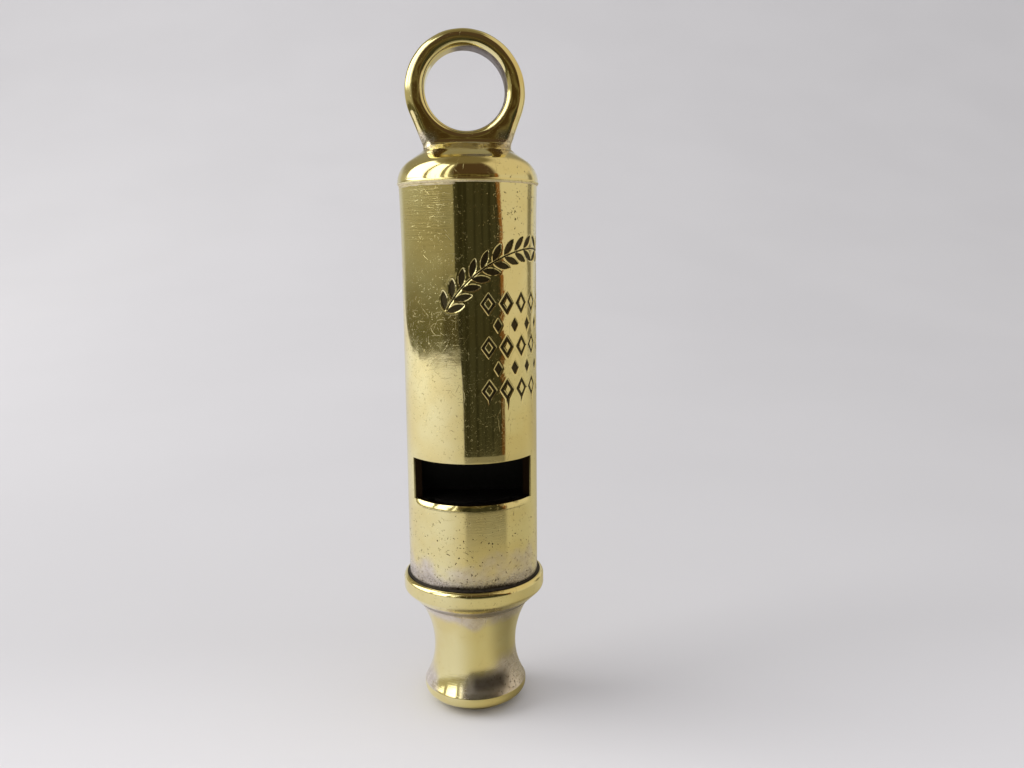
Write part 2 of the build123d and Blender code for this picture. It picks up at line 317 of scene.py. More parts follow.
def barrelWear(t, place, x, y, z, radius):
    s, w = barrelSizes, barrelWorn
    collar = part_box("mouthpiece")[1].z / mm
    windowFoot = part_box("windway_plug")[1].z / mm
    windowTop = windowFoot + s["windowHeight"]
    slopeFoot = windowFoot - s["wornEdge"]
    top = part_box("barrel")[1].z / mm
    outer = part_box("barrel")[1].x / mm - s["flare"]
    over = (z - (top - s["flareLength"])).calc("MAXIMUM", 0.0)
    sunk = outer + over ** 2.0 * (s["flare"] / s["flareLength"] ** 2) - radius

    low = t.noise(place, 0.30, 2.0, 0.5)
    grain = t.noise(place, 4.0, 3.0, 0.7)
    speckle = t.noise(place, 11.0, 3.0, 0.7)
    waves, fringe = w["nickelWaves"]
    edge = collar + w["nickelEdge"] + low * waves + grain * fringe
    nickel = t.ramp(z - edge, -2.4, 2.4, 1.0, 0.0) * w["nickel"]

    middle = t.ramp(abs(x - 0.5), 2.0, 6.5, 1.0, 0.0)
    ragged = z - middle * w["dirtHump"] - speckle * 1.3 - grain * 0.6
    dirtFull, dirtNone = w["dirtSpan"]
    dirtLine = t.ramp(ragged, collar + dirtFull, collar + dirtNone, 1.0, 0.0)
    soot = t.ramp(speckle, 0.44, 0.60) * t.ramp(z - low * 1.5, collar, collar + w["sootHeight"], 1.0, 0.0)
    stamped = t.ramp(sunk, 0.03, 0.09) * t.ramp(z, windowFoot, windowTop)
    inside = t.ramp(sunk, 0.45, 0.6)
    windowDirt = t.band(z, windowFoot - 0.01, windowTop + 0.1, 0.01) * t.ramp(sunk, 0.08, 0.20)
    # painted dark reflection along the foot of each rubbed slope
    slopeReflectionLine = t.band(z + grain * 0.2, slopeFoot, slopeFoot + 0.12, 0.05) * t.ramp(abs(x), 6.6, 5.6)
    # painted dark reflection in patches on the right of each rubbed slope
    slopeReflectionPatch = t.ramp(t.noise(place, 1.1, 2.0), 0.50, 0.60) * t.ramp(sunk, 0.05, 0.15)
    slopeReflectionPatch = slopeReflectionPatch * t.band(z, slopeFoot, windowFoot, 0.05) * t.ramp(x, -0.5, 1.5)
    grimeAndShade = t.most(dirtLine * w["dirt"], soot * w["soot"])
    grimeAndShade = t.most(grimeAndShade, t.most(stamped * w["stamped"], inside))
    grimeAndShade = t.most(grimeAndShade, windowDirt)
    grimeAndShade = t.most(grimeAndShade, t.most(slopeReflectionLine * w["slopeReflectionLine"], slopeReflectionPatch * w["slopeReflectionStrength"]))

    thinFrom, thinTo = w["pitsSpan"]
    lower = t.ramp(z, collar + thinFrom, collar + thinTo, 1.0, w["pitsLeft"])
    cornerFoot, cornerTop = w["cornerSpan"]
    corner = t.ramp(z, top - cornerFoot, top - cornerTop) * t.ramp(x, 1.5, 4.0) * w["cornerPits"]
    brushFoot, brushTop = w["brushedSpan"]
    brushed = t.ramp(z, top - brushFoot, top - brushTop) * t.ramp(x, -1.0, -3.5)
    underFoot, underTop = w["brushedUnder"]
    brushed = brushed + t.band(z, windowFoot - underFoot, windowFoot - underTop, 0.9) * 0.6
    return t.clamp(nickel), t.clamp(grimeAndShade), t.clamp(lower + corner), t.clamp(brushed)


mouthpieceWorn = {
    "collarNickel": 0.8,     # plating left under the collar
    "lipNickel": 0.85,       # and above the lip
    "hang": 1.1,             # mm that it hangs lower in the middle of the front
    "rise": 2.4,             # mm that it climbs higher at the right of the lip
    # darker in the crease under the collar
    "cornerDarkening": 0.45,
    # painted shade on the collar's underside
    "collarUnderShade": 0.6,
    "boreDirt": 0.8,
    "lipDarkReflection": 0.82,          # painted dark reflection: a dark patch above the lip
    "pits": 0.15,
    "rimPits": 0.25,
}


def mouthpieceWear(t, place, x, y, z, radius):
    s, w = mouthpieceSizes, mouthpieceWorn
    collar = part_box("mouthpiece")[1]
    fromTop = z - collar.z / mm
    fromCollar = radius - collar.x / mm
    fromNeck = z - s["neck"][1]
    outNeck = radius - s["neck"][0]
    fromLip = z - s["lipEdge"]

    low = t.noise(place, 0.36, 2.0, 0.5)
    grain = t.noise(place, 4.0, 3.0, 0.7)
    drop = t.ramp(abs(x), 0.0, 1.6, w["hang"], 0.0)
    underCollar = t.ramp(fromNeck - 0.2 + low * 2.2 + grain * 0.4 + drop, -0.7, 0.7)
    underCollar = underCollar * t.ramp(fromNeck, 0.8, 1.2, 1.0, 0.0)
    rightMore = t.ramp(x, 0.0, 4.0, 0.0, w["rise"])
    aboveLip = t.ramp(fromLip - (0.35 + low * 2.6 + grain * 0.6 + rightMore), -1.0, 1.4, 1.0, 0.0)
    aboveLip = aboveLip * t.ramp(fromLip, -0.05, 0.07)
    aboveLip = aboveLip * t.most(t.ramp(x, -2.6, -0.9), t.ramp(x, -4.4, -5.2))
    nickel = t.clamp(underCollar * w["collarNickel"] + aboveLip * w["lipNickel"])

    # darker in the crease under the collar
    corner = t.band(fromNeck, 0.1, 0.8, 0.2) * t.ramp(outNeck, -0.35, -0.05)
    corner = corner * t.ramp(outNeck, 0.75, 1.15, 1.0, 0.0)
    topDirt = t.ramp(fromTop, -0.10, 0.0) * t.ramp(fromCollar, -0.38, -0.48)
    bore = t.ramp(radius - s["boreRadius"], 0.15, 0.35, 1.0, 0.0)
    # painted shade on the collar's underside, in front
    under = t.band(fromNeck, 1.25, 1.85, 0.25) * t.band(x, -2.6, 1.4, 1.0) * t.ramp(outNeck, 0.65, 1.25)
    # painted dark reflection in the middle of the lip's flare
    lipDarkReflection = t.band(x, -0.7, 4.0, 0.9) * t.band(fromLip, 0.45, 2.85, 1.0)
    grimeAndShade = t.most(corner * w["cornerDarkening"], under * w["collarUnderShade"])
    grimeAndShade = t.most(grimeAndShade, t.most(bore * w["boreDirt"], lipDarkReflection * w["lipDarkReflection"]))
    grimeAndShade = t.clamp(t.most(grimeAndShade, topDirt))

    rightPits = t.ramp(x, 0.5, 3.0) * t.ramp(fromLip, 4.45, 1.45) * t.ramp(fromLip, -0.15, 0.15)
    rimPits = t.ramp(outNeck, 0.45, 1.05) * w["rimPits"]
    brushed = t.band(fromLip, 0.15, 2.95, 0.4) * 0.5
    return nickel, grimeAndShade, t.clamp(rightPits + rimPits + w["pits"]), brushed


def capWear(t, place, x, y, z, radius):
    # plating is left round the loop's foot, and the pits are at the right
    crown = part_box("end_cap")[1].z / mm
    grain = t.noise(place, 4.0, 3.0, 0.7)
    nickel = t.ramp(z + grain * 0.6, crown - 0.2, crown + 0.3) * 0.7
    return nickel, 0.0, t.ramp(x, 2.0, 5.0, 0.12, 0.85), 0.0


loopWorn = {
    "crookHeight": (2.0, 3.2),       # mm above the cap, where dirt and plating stop
    "crookNickel": 0.6,
    "crookDirt": 0.6,
    "eyeDirt": 0.62,         # inside the eye
    "eyeEdge": (0.04, 0.14),         # mm from the eye's own radius
    "pits": 0.1,
}


def loopWear(t, place, x, y, z, radius):
    s, w = loopSizes, loopWorn
    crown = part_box("end_cap")[1].z / mm
    eyeUp = z - (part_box("suspension_loop")[1].z / mm - s["ringRadius"] + s["ringDrop"])
    grain = t.noise(place, 3.0, 3.0, 0.7)
    crookFull, crookNone = w["crookHeight"]
    crook = t.ramp(z + grain * 1.4, crown + crookFull, crown + crookNone, 1.0, 0.0)
    crook = crook * t.ramp(abs(x), 3.0, 4.2)
    eyeSpan = (x * x + eyeUp * eyeUp) ** 0.5
    near, far = w["eyeEdge"]
    eye = t.ramp(eyeSpan, s["eyeRadius"] + near, s["eyeRadius"] + far, 1.0, 0.0)
    grimeAndShade = crook * t.ramp(grain, 0.46, 0.66) * w["crookDirt"]
    grimeAndShade = t.clamp(t.most(grimeAndShade, eye * w["eyeDirt"]))
    return t.clamp(crook * w["crookNickel"] + eye), grimeAndShade, w["pits"], 0.0


def loopSolderWear(t, place, x, y, z, radius):
    grain = t.noise(place, 2.6, 3.0, 0.7)
    sides = t.ramp(abs(x), 2.6, 4.6, 0.25, 0.9)
    nickel = t.ramp(grain, 0.40, 0.60) * sides
    grimeAndShade = t.ramp(t.noise(place, 3.4, 3.0, 0.7), 0.50, 0.66) * sides
    return nickel, grimeAndShade * 0.6, grimeAndShade * 0.4, 0.0


def darkFinish(name, tone, sheen):
    material, t = newMaterial(name)
    place = t.place()
    scale = t.noise(place, 2.2, 4.0, 0.65)
    shade = t.mix(t.ramp(scale, 0.35, 0.75), tone, rgb(*[c * 2.6 for c in tone[:3]]))
    bump = t.node("ShaderNodeBump", None, {"Strength": 0.6, "Distance": 0.00003, "Height": scale})
    finishMaterial(t, {
        "Base Color": shade,
        "Metallic": 0.6,
        "Roughness": sheen + t.ramp(scale, 0.4, 0.7) * 0.2,
        "Normal": bump,
    })
    return material


def solderFinish(name, tone, other, rough=0.45):
    material, t = newMaterial(name)
    place = t.place()
    lumps = t.noise(place, 3.0, 4.0, 0.65)
    shade = t.mix(t.ramp(lumps, 0.3, 0.7), tone, other)
    bump = t.node("ShaderNodeBump", None, {"Strength": 0.9, "Distance": 0.00006, "Height": lumps})
    finishMaterial(t, {
        "Base Color": shade,
        "Metallic": 0.7,
        "Roughness": rough + t.ramp(lumps, 0.3, 0.7) * 0.25,
        "Normal": bump,
    })
    return material


# meshes

def meshPiece(name, points, faces, sharpAngle=35):
    mesh = bpy.data.meshes.new(name)
    mesh.from_pydata((np.asarray(points) * mm).tolist(), [], faces)
    mesh.polygons.foreach_set("use_smooth", [True] * len(mesh.polygons))
    mesh.set_sharp_from_angle(angle=math.radians(sharpAngle))
    mesh.update()
    piece = bpy.data.objects.new(name, mesh)
    bpy.context.scene.collection.objects.link(piece)
    return piece


def arc(centre, radius, start, end, steps):
    # points on a circle of the outline plane, angles in degrees
    turns = np.radians(np.linspace(start, end, steps + 1))
    return [(centre[0] + radius * math.cos(a), centre[1] + radius * math.sin(a)) for a in turns]


def touchPoint(point, centre, radius, side):
    # where a straight line from point meets the circle, on one side
    dx, dz = point[0] - centre[0], point[1] - centre[1]
    turn = math.atan2(dz, dx) + side * math.acos(radius / math.hypot(dx, dz))
    return math.degrees(turn)


def curveTo(waist, far, steps):
    # arc that leaves the waist upright and ends at the far point
    out, rise = far[0] - waist[0], far[1] - waist[1]
    radius = (rise * rise + out * out) / (2 * out)
    heights = np.linspace(0, rise, steps + 1)
    return [(waist[0] + radius - math.sqrt(radius * radius - h * h), waist[1] + h) for h in heights]


def lathe(name, outline, columns=240, shape=None, sharpAngle=35):
    # turns a closed outline of (radius, height) points round the axis
    turns = np.linspace(0, 2 * math.pi, columns, endpoint=False)
    rows = len(outline)
    radii = np.array([p[0] for p in outline])
    heights = np.array([p[1] for p in outline])
    points = np.zeros((columns, rows, 3))
    for j, a in enumerate(turns):
        r = shape(a, radii, heights) if shape else radii
        points[j, :, 0] = r * math.cos(a)
        points[j, :, 1] = r * math.sin(a)
        points[j, :, 2] = heights
    faces = []
    for j in range(columns):
        k = (j + 1) % columns
        for i in range(rows):
            n = (i + 1) % rows
            faces.append((j * rows + i, k * rows + i, k * rows + n, j * rows + n))
    return meshPiece(name, points.reshape(-1, 3), faces, sharpAngle)


mouthpieceSizes = {
    "boreRadius": 3.75,
    "boreTop": 9.4,
    "edgeBreak": 0.12,
    "lipFace": 4.3,
    "lipRadius": 6.52,
    "lipRound": 1.15,
    "lipBand": 2.1,
    "lipEdge": 2.55,
    "waist": (5.22, 7.4),
    "neck": (6.95, 13.5),
    "neckWall": 1.25,
    "collarRound": 0.6,
    "collarLand": 1.0,
    "socketDepth": 2.0,
    "socketWall": 0.75,
}


def makeMouthpiece():
    s = mouthpieceSizes
    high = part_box("mouthpiece")[1]
    top, collar = high.z / mm, high.x / mm
    socket = collar - s["socketWall"]
    lipCentre = (s["lipRadius"] - s["lipRound"], s["lipBand"])
    lipStart = touchPoint((s["lipFace"], 0), lipCentre, s["lipRound"], 1)
    landFoot = top - s["collarRound"] - s["collarLand"]
    underCentre = (collar - s["collarRound"], landFoot)
    underStart = touchPoint(s["neck"], underCentre, s["collarRound"], 1)
    cavity = s["neck"][0] - s["neckWall"]
    lipEdge = (s["lipRadius"] - 0.02, s["lipEdge"])
    outline = [(s["boreRadius"] + s["edgeBreak"], 0), (s["lipFace"], 0)]
    outline += arc(lipCentre, s["lipRound"], lipStart, 0, 14)
    outline += [(s["lipRadius"], s["lipEdge"] - 0.1)]
    outline += list(reversed(curveTo(s["waist"], lipEdge, 22)))
    outline += curveTo(s["waist"], s["neck"], 26)[1:]
    outline += arc(underCentre, s["collarRound"], underStart, 0, 10)
    outline += arc((underCentre[0], top - s["collarRound"]), s["collarRound"], 0, 90, 10)
    outline += [
        (socket, top),
        (socket, top - s["socketDepth"]),
        (cavity, top - s["socketDepth"]),
        (cavity, s["neck"][1]),
        (s["boreRadius"], s["boreTop"]),
        (s["boreRadius"], s["edgeBreak"]),
    ]
    return lathe("mouthpieceTurned", outline, 256)


barrelSizes = {
    "flare": 0.15,
    "flareLength": 10.0,
    "wall": 0.85,
    "windowHeight": 5.1,
    "windowDepth": 4.2,
    "wornEdge": 0.68,        # height of the rubbed slope under each window
    "wornDepth": 0.30,
    "wornEnds": 7.0,         # degrees over which the slope runs out
    "crispEdge": 0.07,       # rounding of its upper edge
    "markDepth": 0.13,
    "burr": 0.008,
    "fineStep": 0.105,       # mesh step where the marks are
    "coarseStep": 0.42,
}

markSizes = {
    "centreTurn": -26.0,     # degrees round the barrel, from +X
    "garlandRadius": 13.5,
    "garlandTop": 57.6,
    "garlandSpan": 60.0,     # degrees each side of the middle
    "leafPairs": 9,          # on each side
    "leaf": (1.12, 0.40),    # half length and half width
    "leafOut": 0.80,
    "leafLean": 38.0,
    "stem": 0.20,
    "panelFoot": 41.4,
    "panelRows": 5,
    "rowPitch": 2.5,
    "lozengePitch": 2.3,
    "panelHalf": 7.2,        # half width of the lozenge panel
    "lozenge": (0.95, 1.3, 0.38),    # half width, half height and stroke
    "smallLozenge": (0.55, 0.85, 0),
    "reach": 2.2,            # nothing of one mark is farther than this from its middle
    "edgeSoft": 0.14,
    "burrAt": (0.16, 0.11),  # where the burr stands outside a mark's edge, and its width
    "fineTurn": 100,         # degrees each side of the middle with fine columns
    "fineRows": (40.3, 60.6),
}


def lozenge(u, v, half, tall, stroke):
    reach = (np.abs(u) / half + np.abs(v) / tall - 1) * half * tall / math.hypot(half, tall)
    return np.maximum(reach, -(reach + stroke)) if stroke else reach


def leafMark(u, v, half, wide):
    # pointed leaf: two equal arcs that meet at its ends
    bow = (half * half - wide * wide) / (2 * wide)
    return np.hypot(u, np.abs(v) + bow) - (bow + wide)


def listMarks():
    # each mark: place across, place up, tilt in degrees, distance function
    s = markSizes
    marks = []
    for side in (-1, 1):
        for n in range(s["leafPairs"]):
            lean = side * s["garlandSpan"] * (n + 0.6) / s["leafPairs"]
            for out in (-1, 1):
                radius = s["garlandRadius"] + out * s["leafOut"]
                across = radius * math.sin(math.radians(lean))
                up = s["garlandTop"] - s["garlandRadius"] + radius * math.cos(math.radians(lean))
                tilt = -lean - side * out * s["leafLean"]
                marks.append((across, up, tilt, lambda u, v: leafMark(u, v, *s["leaf"])))
    for row in range(s["panelRows"]):
        up = s["panelFoot"] + row * s["rowPitch"]
        count = int(s["panelHalf"] / s["lozengePitch"])
        for n in range(-count, count + 1):
            if row % 2 == 0:
                across = n * s["lozengePitch"]
                marks.append((across, up, 0, lambda u, v: lozenge(u, v, *s["lozenge"])))
            elif n < count:
                across = (n + 0.5) * s["lozengePitch"]
                marks.append((across, up, 0, lambda u, v: lozenge(u, v, *s["smallLozenge"])))
    return marks


def pressMarks(turns, heights, radius):
    # depth of the punched ornament at every point of the outer surface
    s = markSizes
    across = (np.degrees(turns) - s["centreTurn"] + 180) % 360 - 180
    u, v = np.meshgrid(np.radians(across) * radius, heights, indexing="ij")
    far = 9.0
    nearest = np.full(u.shape, far)
    for atU, atV, tilt, shape in listMarks():
        close = (np.abs(u - atU) < s["reach"]) & (np.abs(v - atV) < s["reach"])
        if not close.any():
            continue
        c, d = math.cos(math.radians(tilt)), math.sin(math.radians(tilt))
        du, dv = u[close] - atU, v[close] - atV
        nearest[close] = np.minimum(nearest[close], shape(du * c + dv * d, dv * c - du * d))
    fromStem = v - (s["garlandTop"] - s["garlandRadius"])
    lean = np.degrees(np.arctan2(u, fromStem))
    stem = np.abs(np.hypot(u, fromStem) - s["garlandRadius"]) - s["stem"] / 2
    nearest = np.minimum(nearest, np.where(np.abs(lean) < s["garlandSpan"], stem, far))
    sunk = np.clip(-nearest / s["edgeSoft"] + 0.35, 0, 1)
    sunk = sunk * sunk * (3 - 2 * sunk)
    burrMiddle, burrWidth = s["burrAt"]
    raised = np.exp(-((nearest - burrMiddle) / burrWidth) ** 2) * (1 - sunk)
    return raised * barrelSizes["burr"] - sunk * barrelSizes["markDepth"]


def makeBarrel():
    s = barrelSizes
    low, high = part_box("barrel")
    foot, top = low.z / mm, high.z / mm
    outer = high.x / mm - s["flare"]
    inner = outer - s["wall"]
    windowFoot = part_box("windway_plug")[1].z / mm
    windowTop = windowFoot + s["windowHeight"]
    flat = outer - s["windowDepth"]
    outHalf = math.degrees(math.acos(flat / outer))
    inHalf = math.degrees(math.acos(flat / inner))
    edges = [-90 - outHalf, -90 + outHalf, 90 - outHalf, 90 + outHalf, 270 - outHalf]
    innerEdges = [-90 - inHalf, -90 + inHalf, 90 - inHalf, 90 + inHalf, 270 - inHalf]

    # columns: fine where the ornament is, coarser behind, with one exactly at each window end
    fineFrom = markSizes["centreTurn"] - markSizes["fineTurn"]
    fineTo = markSizes["centreTurn"] + markSizes["fineTurn"]
    stops = sorted(set(edges + [fineFrom, fineTo]))
    turns = []
    for a, b in zip(stops, stops[1:]):
        fine = fineFrom - 0.01 <= a and b <= fineTo + 0.01
        step = math.degrees((s["fineStep"] if fine else s["coarseStep"]) / outer)
        count = max(2, int(round((b - a) / step)))
        turns += list(np.linspace(a, b, count, endpoint=False))
    turns = np.array(turns)
    innerTurns = np.interp(turns, edges, innerEdges)
    columns = len(turns)

    # rows: close together on the window edges and through the ornament
    worn, crisp = s["wornEdge"], s["crispEdge"]
    rise = list(np.linspace(windowFoot - worn, windowFoot, 12))
    drop = [windowTop + crisp * (1 - math.cos(a)) for a in np.linspace(0, math.pi / 2, 4)]
    heights = list(np.linspace(foot, windowFoot - worn, 24, endpoint=False)) + rise
    heights += list(np.linspace(windowFoot, windowTop, 10))[1:-1] + drop
    markFoot, markTop = markSizes["fineRows"]
    heights += list(np.linspace(drop[-1], markFoot, 10))[1:]
    heights += list(np.linspace(markFoot, markTop, int((markTop - markFoot) / s["fineStep"])))[1:]
    heights += list(np.linspace(markTop, top, 10))[1:]
    heights = np.array(heights)
    rows = len(heights)
    rowA = int(np.argmin(np.abs(heights - windowFoot)))
    rowB = int(np.argmin(np.abs(heights - windowTop)))

    over = np.maximum(heights - (top - s["flareLength"]), 0)
    base = outer + over * over * s["flare"] / s["flareLength"] ** 2
    radii = np.tile(base, (columns, 1)) + pressMarks(np.radians(turns), heights, outer)

    wearOut = np.zeros(columns)
    for facing in (-90, 90):
        signed = (turns - facing + 180) % 360 - 180
        fade = 0.72 - 0.28 * np.clip(signed / outHalf, -1, 1)    # one end is rubbed more than the other
        fade += 0.06 * np.sin(signed / 4.3) + 0.03 * np.sin(signed / 1.9)
        ends = np.clip((outHalf - np.abs(signed)) / s["wornEnds"], 0, 1)
        wearOut = np.maximum(wearOut, ends * fade)
    for i, h in enumerate(heights):
        if windowFoot - worn < h <= windowFoot + 1e-6:
            up = (h - (windowFoot - worn)) / worn
            radii[:, i] -= wearOut * s["wornDepth"] * up ** 1.5
        if windowTop - 1e-6 <= h < windowTop + crisp:
            down = 1 - (h - windowTop) / crisp
            radii[:, i] -= wearOut * crisp * (1 - math.sqrt(max(0, 1 - down * down)))

    angle = np.radians(turns)
    outside = np.stack([radii * np.cos(angle)[:, None], radii * np.sin(angle)[:, None],
                        np.tile(heights, (columns, 1))], 2)
    innerRows = [0, rowA, rowB, rows - 1]
    innerAngle = np.radians(innerTurns)
    inside = np.zeros((columns, 4, 3))
    for k, i in enumerate(innerRows):
        inside[:, k, 0] = inner * np.cos(innerAngle)
        inside[:, k, 1] = inner * np.sin(innerAngle)
        inside[:, k, 2] = heights[i]
    offset = columns * rows
    points = np.concatenate([outside.reshape(-1, 3), inside.reshape(-1, 3)])

    def o(j, i):
        return (j % columns) * rows + i

    def n(j, k):
        return offset + (j % columns) * 4 + k

    def windowColumn(j):
        middle = (turns[j] + (turns[(j + 1) % columns] if j + 1 < columns else turns[0] + 360)) / 2
        return any(abs((middle - facing + 180) % 360 - 180) < outHalf for facing in (-90, 90))

    cut = [windowColumn(j) for j in range(columns)]
    faces = []
    for j in range(columns):
        for i in range(rows - 1):
            if not (cut[j] and rowA <= i < rowB):
                faces.append((o(j, i), o(j + 1, i), o(j + 1, i + 1), o(j, i + 1)))
        for k in range(3):
            if not (cut[j] and k == 1):
                faces.append((n(j, k), n(j, k + 1), n(j + 1, k + 1), n(j + 1, k)))
        faces.append((o(j, 0), n(j, 0), n(j + 1, 0), o(j + 1, 0)))
        faces.append((o(j, rows - 1), o(j + 1, rows - 1), n(j + 1, 3), n(j, 3)))
        if cut[j]:
            faces.append((o(j, rowA), o(j + 1, rowA), n(j + 1, 1), n(j, 1)))
            faces.append((o(j, rowB), n(j, 2), n(j + 1, 2), o(j + 1, rowB)))
        if cut[j] != cut[j - 1]:
            side = [o(j, i) for i in range(rowA, rowB + 1)] + [n(j, 2), n(j, 1)]
            faces.append(tuple(reversed(side) if cut[j] else side))
    used = sorted({index for face in faces for index in face})   # the grid points inside the windows go
    remap = {old: new for new, old in enumerate(used)}
    faces = [tuple(remap[index] for index in face) for face in faces]
    return meshPiece("barrelTube", points[used], faces, 30)


capSizes = {
    "rimHeight": 0.2,
    "rimOut": 0.2,           # how far the rim stands out past the tube
    "rimBead": 0.1,
    "rimLine": 0.26,         # height of the raised line at the rim's foot
    "rimStep": 0.07,
    "shoulder": 3.05,
    "seat": 5.0,
    "topSlope": 33.9,        # degrees that the cap falls away from its seat
    "skirtWall": 0.8,
    "skirtGap": 0.03,
    "tailHole": 1.53,
    "crownWall": 1.1,
}


def makeCap():
    s = capSizes
    low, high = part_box("end_cap")
    seatZ, rim = high.z / mm, high.x / mm
    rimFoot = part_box("barrel")[1].z / mm
    skirt = rim - s["rimOut"] - barrelSizes["wall"] - s["skirtGap"]
    bore = skirt - s["skirtWall"]
    body = rim - s["rimStep"]
    centre = (body - s["shoulder"], rimFoot + s["rimHeight"])
    end = touchPoint((s["seat"], seatZ), centre, s["shoulder"], -1)
    crownBore = s["seat"] - s["crownWall"]
    outline = [(bore, low.z / mm), (skirt, low.z / mm), (skirt, rimFoot), (rim - 0.06, rimFoot)]
    outline += arc((rim - s["rimBead"], rimFoot + s["rimLine"] / 2), s["rimBead"], -60, 60, 6)
    start = math.degrees(math.asin((s["rimLine"] + 0.05 - s["rimHeight"]) / s["shoulder"]))
    outline += arc(centre, s["shoulder"], start, end, 20)
    outline += [
        (s["seat"], seatZ),
        (s["tailHole"], seatZ),
        (s["tailHole"], seatZ - s["crownWall"]),
        (crownBore, seatZ - s["crownWall"]),
        (bore, centre[1]),
    ]
    return lathe("domedCap", outline, 256, sharpAngle=50)


loopSizes = {
    "eyeRadius": 4.7,
    "ringRadius": 7.05,
    "ringDrop": 0.25,
    "thickness": 3.7,
    "edgeRound": 0.95,
    "eyeRound": 0.85,
    "crowning": 0.11,        # how much the faces swell between their edges
    "lean": 0.026,           # the ring is knocked a little to one side
    "filing": 0.010,         # height of the file's waves
    "footRadius": 5.0,
    "footTop": 4.7,
    "footHeight": 0.4,
    "heelRadius": 4.9,       # lower circle of the ring's pear outline
    "heelRise": 0.6,
    "blend": 0.75,
    "voxel": 0.10,
    "passes": 12,            # times that the mesh is drawn towards its shape
    "stride": 0.25,          # the most it moves in one pass, mm
    "probe": 0.004,
}


def pearDistance(x, z, bigRadius, smallRadius, span):
    # outline round two circles on the z axis: the big one at 0, the small one span below it
    across, down = np.abs(x), -z
    b = (bigRadius - smallRadius) / span
    a = math.sqrt(1 - b * b)
    k = -b * across + a * down
    big = np.hypot(across, down) - bigRadius
    small = np.hypot(across, down - span) - smallRadius
    flank = across * a + down * b - bigRadius
    return np.where(k < 0, big, np.where(k > a * span, small, flank))


def smoothMin(a, b, k):
    h = np.clip(0.5 + 0.5 * (b - a) / k, 0, 1)
    return b * (1 - h) + a * h - k * h * (1 - h)


def roundedMax(a, b, r):
    # meeting of two faces whose edge is rounded to r
    inner = np.minimum(np.maximum(a + r, b + r), 0)
    return inner + np.hypot(np.maximum(a + r, 0), np.maximum(b + r, 0)) - r


def loopDistance(points, crown, eyeZ):
    s = loopSizes
    y, z = points[:, 1], points[:, 2]
    x = points[:, 0] + s["lean"] * (z - crown)
    ringZ = eyeZ - s["ringDrop"]
    span = ringZ - crown - s["heelRise"]
    pear = pearDistance(x, z - ringZ, s["ringRadius"], s["heelRadius"], span)
    eye = s["eyeRadius"] - np.hypot(x, z - eyeZ)
    offset = np.clip((pear - eye) / np.minimum(pear + eye, -0.5), -1, 1)
    file = np.sin(1.9 * x + 1.1 * z) * np.cos(1.3 * z - 0.7 * x + 1.5 * y)
    face = np.abs(y) - s["thickness"] / 2 + s["crowning"] * offset * offset + s["filing"] * (1 + file)
    outside = roundedMax(pear + s["filing"] * (1 + file), face, s["edgeRound"])
    inside = roundedMax(eye, face, s["eyeRound"])
    plate = np.maximum(outside, inside)
    slope = (s["footRadius"] - s["footTop"]) / s["footHeight"]
    cone = (np.hypot(x, y) - (s["footRadius"] - (z - crown) * slope)) / math.sqrt(1 + slope * slope)
    foot = -smoothMin(-cone, -(z - crown - s["footHeight"]), 0.2)
    return smoothMin(plate, foot, s["blend"])


def makeLoop():
    s = loopSizes
    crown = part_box("end_cap")[1].z / mm
    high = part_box("suspension_loop")[1].z / mm
    eyeZ = high - s["ringRadius"] + s["ringDrop"]
    piece = bpy.data.objects.new("suspensionRing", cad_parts["suspension_loop"].data.copy())
    bpy.context.scene.collection.objects.link(piece)
    piece.data.materials.clear()
    remesh = piece.modifiers.new("even", "REMESH")
    remesh.mode = "VOXEL"
    remesh.voxel_size = s["voxel"] * mm
    graph = bpy.context.evaluated_depsgraph_get()
    piece.data = bpy.data.meshes.new_from_object(piece.evaluated_get(graph))
    piece.modifiers.clear()
    mesh = piece.data
    co = np.zeros(len(mesh.vertices) * 3)
    mesh.vertices.foreach_get("co", co)
    points = co.reshape(-1, 3) / mm
    above = points[:, 2] > crown + 0.02
    for step in range(s["passes"]):
        d = loopDistance(points, crown, eyeZ)
        slope = np.zeros_like(points)
        for axis in range(3):
            shift = np.zeros(3)
            shift[axis] = s["probe"]
            ahead = loopDistance(points + shift, crown, eyeZ)
            behind = loopDistance(points - shift, crown, eyeZ)
            slope[:, axis] = (ahead - behind) / (2 * s["probe"])
        size = np.maximum((slope * slope).sum(1), 0.05)
        move = np.clip(d / size, -s["stride"], s["stride"])[:, None] * slope
        points[above] -= 0.8 * move[above]
    points[above, 2] = np.maximum(points[above, 2], crown)
    mesh.vertices.foreach_set("co", (points * mm).ravel())
    mesh.polygons.foreach_set("use_smooth", [True] * len(mesh.polygons))
    mesh.set_sharp_from_angle(angle=math.radians(60))
    mesh.update()
    return piece


solderSizes = {
    "columns": 300,
    "swell": 0.14,           # mm that the second run stands out where it is thickest
    "sink": 0.06,            # mm that the rest of it lies under the barrel's surface
    "runFrom": -95,          # degrees from straight in front
    "runTo": 2,
    "footSpread": 0.80,      # mm that the loop's solder reaches out over the cap
}


def unevenRing(name, section, amount, seed):
    # a thin solder bead whose reach from the wall comes and goes
    def shape(a, radii, heights):
        swell = 0.55 + 0.25 * math.sin(5 * a + seed) + 0.2 * math.sin(11 * a + 2 * seed)
        wall = min(p[0] for p in section)
        return wall + (radii - wall) * (1 - amount + amount * swell)
    return lathe(name, section, solderSizes["columns"], shape)


def runShape(a, radii, heights):
    # shows from the left side to the front and stays under the barrel's surface elsewhere
    s = solderSizes
    turn = (math.degrees(a) + 270) % 360 - 180
    show = np.clip((turn - s["runFrom"]) / 20, 0, 1) * np.clip((s["runTo"] - turn) / 12, 0, 1)
    swell = 0.65 + 0.20 * math.sin(9 * a + 1.0) + 0.15 * math.sin(23 * a)
    return radii + s["swell"] * show * swell - s["sink"]


